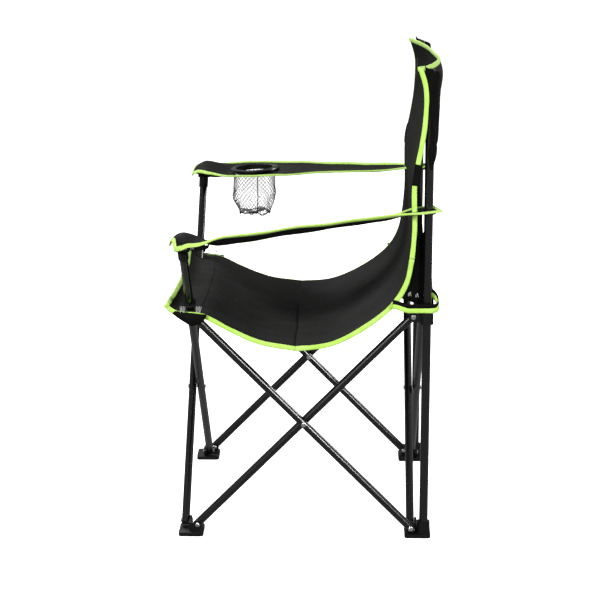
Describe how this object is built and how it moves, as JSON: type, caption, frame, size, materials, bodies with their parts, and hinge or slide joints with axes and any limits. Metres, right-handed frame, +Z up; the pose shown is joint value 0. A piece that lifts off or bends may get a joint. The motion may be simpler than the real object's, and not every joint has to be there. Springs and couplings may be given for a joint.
{
  "type": "folding camp chair",
  "caption": "Folding camp chair with a crossed steel tube frame, fabric sling seat and back, fabric arms and a net cup holder.",
  "frame": {"origin": "on the floor, under the middle of the frame's square of feet", "axes": "+Z up, -Y to the sitter's front, +X to the sitter's left"},
  "size_m": [0.7861, 0.4915, 0.872],
  "materials": {
    "steel": "gloss black powder coat",
    "fitting": "moulded black plastic",
    "rivet": "polished",
    "cloth": "woven polyester",
    "ring": "moulded",
    "net": "open knit net"
  },
  "bodies": {
    "rear_left_post_body": {"rear_left_post": "steel", "rear_left_post_cap": "fitting", "rear_left_foot": "fitting", "rear_left_foot_rivets": "rivet", "left_arm_eyelet": "fitting", "left_back_sleeve": "cloth", "back_panel": "cloth"},
    "left_outer_brace": {"left_side_brace_outer": "steel", "left_outer_brace_plugs": "fitting", "left_side_cross_rivet": "rivet"},
    "left_inner_brace": {"left_side_brace_inner": "steel", "left_inner_brace_plugs": "fitting"},
    "front_left_foot_body": {"front_left_foot": "fitting", "front_left_foot_rivets": "rivet"},
    "rear_left_collar_body": {"rear_left_collar": "fitting", "rear_left_collar_rivets": "rivet"},
    "front_left_bracket_body": {"front_left_bracket": "fitting", "front_left_bracket_rivets": "rivet"},
    "rear_inner_brace_body": {"rear_brace_inner": "steel", "rear_inner_brace_plugs": "fitting", "rear_cross_rivet": "rivet"},
    "rear_outer_brace_body": {"rear_brace_outer": "steel", "rear_outer_brace_plugs": "fitting"},
    "rear_right_post_body": {"rear_right_post": "steel", "rear_right_post_cap": "fitting", "rear_right_foot": "fitting", "rear_right_foot_rivets": "rivet", "right_arm_eyelet": "fitting", "right_back_sleeve": "cloth"},
    "rear_right_collar_body": {"rear_right_collar": "fitting", "rear_right_collar_rivets": "rivet"},
    "right_inner_brace": {"right_side_brace_inner": "steel", "right_inner_brace_plugs": "fitting", "right_side_cross_rivet": "rivet"},
    "right_outer_brace": {"right_side_brace_outer": "steel", "right_outer_brace_plugs": "fitting"},
    "front_right_foot_body": {"front_right_foot": "fitting", "front_right_foot_rivets": "rivet"},
    "front_right_bracket_body": {"front_right_bracket": "fitting", "front_right_bracket_rivets": "rivet"},
    "front_outer_tube_body": {"front_tube_outer": "steel", "front_outer_tube_plug": "fitting", "right_arm_tube_cap": "fitting", "front_cross_rivet": "rivet", "right_seat_eyelet": "fitting"},
    "front_inner_tube_body": {"front_tube_inner": "steel", "front_inner_tube_plug": "fitting", "left_arm_tube_cap": "fitting", "left_seat_eyelet": "fitting"},
    "left_arm_insert_body": {"left_arm_insert": "fitting"},
    "right_arm_insert_body": {"right_arm_insert": "fitting"},
    "left_arm_front_body": {"left_arm_front": "cloth"},
    "right_arm_front_body": {"right_arm_front": "cloth", "cup_ring": "ring", "cup_net": "net"},
    "left_arm_rear_body": {"left_arm_rear": "cloth"},
    "right_arm_rear_body": {"right_arm_rear": "cloth"},
    "seat_front_body": {"seat_front": "cloth"},
    "seat_rear_body": {"seat_rear": "cloth"}
  },
  "joints": [
    {"name": "fold", "type": "hinge", "parent": "rear_left_post_body", "child": "left_outer_brace", "pos_m": [0.22896, 0.19836, 0.017], "axis": [-1, 0, 0], "range_deg": [0, 38], "deforming": ["back_panel", "left_back_sleeve"]},
    {"name": "left_cross", "type": "hinge", "parent": "left_outer_brace", "child": "left_inner_brace", "pos_m": [0.22096, 0, 0.21885], "axis": [-1, 0, 0], "range_deg": [-76.5, 0]},
    {"name": "front_left_foot_pivot", "type": "hinge", "parent": "left_inner_brace", "child": "front_left_foot_body", "pos_m": [0.21296, -0.19836, 0.017], "axis": [-1, 0, 0], "range_deg": [0, 38.5]},
    {"name": "rear_left_collar_pivot", "type": "hinge", "parent": "left_inner_brace", "child": "rear_left_collar_body", "pos_m": [0.21296, 0.19836, 0.4207], "axis": [-1, 0, 0], "range_deg": [0, 38.5]},
    {"name": "front_left_bracket_pivot", "type": "hinge", "parent": "left_outer_brace", "child": "front_left_bracket_body", "pos_m": [0.22896, -0.19836, 0.4207], "axis": [-1, 0, 0], "range_deg": [-38.5, 0]},
    {"name": "rear_brace_pivot", "type": "hinge", "parent": "rear_left_post_body", "child": "rear_inner_brace_body", "pos_m": [0.19836, 0.19836, 0.017], "axis": [0, 1, 0], "range_deg": [0, 38.5]},
    {"name": "rear_cross", "type": "hinge", "parent": "rear_inner_brace_body", "child": "rear_outer_brace_body", "pos_m": [0, 0.20636, 0.21885], "axis": [0, 1, 0], "range_deg": [-76.5, 0]},
    {"name": "rear_right_post_pivot", "type": "hinge", "parent": "rear_outer_brace_body", "child": "rear_right_post_body", "pos_m": [-0.19836, 0.21436, 0.017], "axis": [0, 1, 0], "range_deg": [0, 38.5]},
    {"name": "rear_right_collar_pivot", "type": "hinge", "parent": "rear_inner_brace_body", "child": "rear_right_collar_body", "pos_m": [-0.19836, 0.19836, 0.4207], "axis": [0, 1, 0], "range_deg": [-38.5, 0]},
    {"name": "right_brace_pivot", "type": "hinge", "parent": "rear_right_post_body", "child": "right_inner_brace", "pos_m": [-0.21296, 0.19836, 0.017], "axis": [-1, 0, 0], "range_deg": [0, 38.5]},
    {"name": "right_cross", "type": "hinge", "parent": "right_inner_brace", "child": "right_outer_brace", "pos_m": [-0.22096, 0, 0.21885], "axis": [-1, 0, 0], "range_deg": [-76.5, 0]},
    {"name": "front_right_foot_pivot", "type": "hinge", "parent": "right_outer_brace", "child": "front_right_foot_body", "pos_m": [-0.22896, -0.19836, 0.017], "axis": [-1, 0, 0], "range_deg": [0, 38.5]},
    {"name": "front_right_bracket_pivot", "type": "hinge", "parent": "right_inner_brace", "child": "front_right_bracket_body", "pos_m": [-0.21296, -0.19836, 0.4207], "axis": [-1, 0, 0], "range_deg": [-38.5, 0]},
    {"name": "front_tube_pivot", "type": "hinge", "parent": "front_left_foot_body", "child": "front_outer_tube_body", "pos_m": [0.19836, -0.22256, 0.017], "axis": [0, 1, 0], "range_deg": [0, 38.5]},
    {"name": "front_cross", "type": "hinge", "parent": "front_outer_tube_body", "child": "front_inner_tube_body", "pos_m": [0, -0.21456, 0.21885], "axis": [0, 1, 0], "range_deg": [-76.5, 0]},
    {"name": "right_arm_insert_pivot", "type": "hinge", "parent": "front_outer_tube_body", "child": "right_arm_insert_body", "pos_m": [-0.35003, -0.22256, 0.57505], "axis": [0, 1, 0], "range_deg": [-38.5, 0]},
    {"name": "left_arm_insert_pivot", "type": "hinge", "parent": "front_inner_tube_body", "child": "left_arm_insert_body", "pos_m": [0.35003, -0.20656, 0.57505], "axis": [0, 1, 0], "range_deg": [0, 38.5]},
    {"name": "left_arm_front_fold", "type": "hinge", "parent": "left_arm_insert_body", "child": "left_arm_front_body", "pos_m": [0.35003, -0.20656, 0.58349], "axis": [0.9576, 0.2882, 0], "range_deg": [-75.52, 0], "deforming": ["left_arm_front"]},
    {"name": "right_arm_front_fold", "type": "hinge", "parent": "right_arm_insert_body", "child": "right_arm_front_body", "pos_m": [-0.35003, -0.22256, 0.58349], "axis": [0.9604, -0.2786, 0], "range_deg": [-75.52, 0], "deforming": ["right_arm_front", "cup_net"]},
    {"name": "left_arm_rear_fold", "type": "hinge", "parent": "rear_left_post_body", "child": "left_arm_rear_body", "pos_m": [0.22096, 0.22236, 0.612], "axis": [0.9576, 0.2882, 0], "range_deg": [0, 84.1], "deforming": ["left_arm_rear"]},
    {"name": "right_arm_rear_fold", "type": "hinge", "parent": "rear_right_post_body", "child": "right_arm_rear_body", "pos_m": [-0.22096, 0.22236, 0.612], "axis": [0.9604, -0.2786, 0], "range_deg": [0, 84.1], "deforming": ["right_arm_rear", "right_back_sleeve"]},
    {"name": "seat_front_fold", "type": "hinge", "parent": "front_left_bracket_body", "child": "seat_front_body", "pos_m": [0, -0.19136, 0.4337], "axis": [1, 0, 0], "range_deg": [-58.49, 0], "deforming": ["seat_front"]},
    {"name": "seat_rear_fold", "type": "hinge", "parent": "rear_left_collar_body", "child": "seat_rear_body", "pos_m": [0, 0.19736, 0.5007], "axis": [1, 0, 0], "range_deg": [0, 48.99], "deforming": ["seat_rear"]}
  ],
  "couplings": [
    {"joint": "left_cross", "follows": "fold", "ratio": -2},
    {"joint": "front_left_foot_pivot", "follows": "fold", "ratio": 1},
    {"joint": "rear_left_collar_pivot", "follows": "fold", "ratio": 1},
    {"joint": "front_left_bracket_pivot", "follows": "fold", "ratio": -1},
    {"joint": "rear_brace_pivot", "follows": "fold", "ratio": 1},
    {"joint": "rear_cross", "follows": "fold", "ratio": -2},
    {"joint": "rear_right_post_pivot", "follows": "fold", "ratio": 1},
    {"joint": "rear_right_collar_pivot", "follows": "fold", "ratio": -1},
    {"joint": "right_brace_pivot", "follows": "fold", "ratio": 1},
    {"joint": "right_cross", "follows": "fold", "ratio": -2},
    {"joint": "front_right_foot_pivot", "follows": "fold", "ratio": 1},
    {"joint": "front_right_bracket_pivot", "follows": "fold", "ratio": -1},
    {"joint": "front_tube_pivot", "follows": "fold", "ratio": 1},
    {"joint": "front_cross", "follows": "fold", "ratio": -2},
    {"joint": "right_arm_insert_pivot", "follows": "fold", "ratio": -1},
    {"joint": "left_arm_insert_pivot", "follows": "fold", "ratio": 1},
    {"joint": "left_arm_front_fold", "follows": "fold", "ratio": -1.974},
    {"joint": "right_arm_front_fold", "follows": "fold", "ratio": -1.974},
    {"joint": "left_arm_rear_fold", "follows": "fold", "ratio": 2.2},
    {"joint": "right_arm_rear_fold", "follows": "fold", "ratio": 2.2},
    {"joint": "seat_front_fold", "follows": "fold", "ratio": -1.526},
    {"joint": "seat_rear_fold", "follows": "fold", "ratio": 1.276}
  ]
}
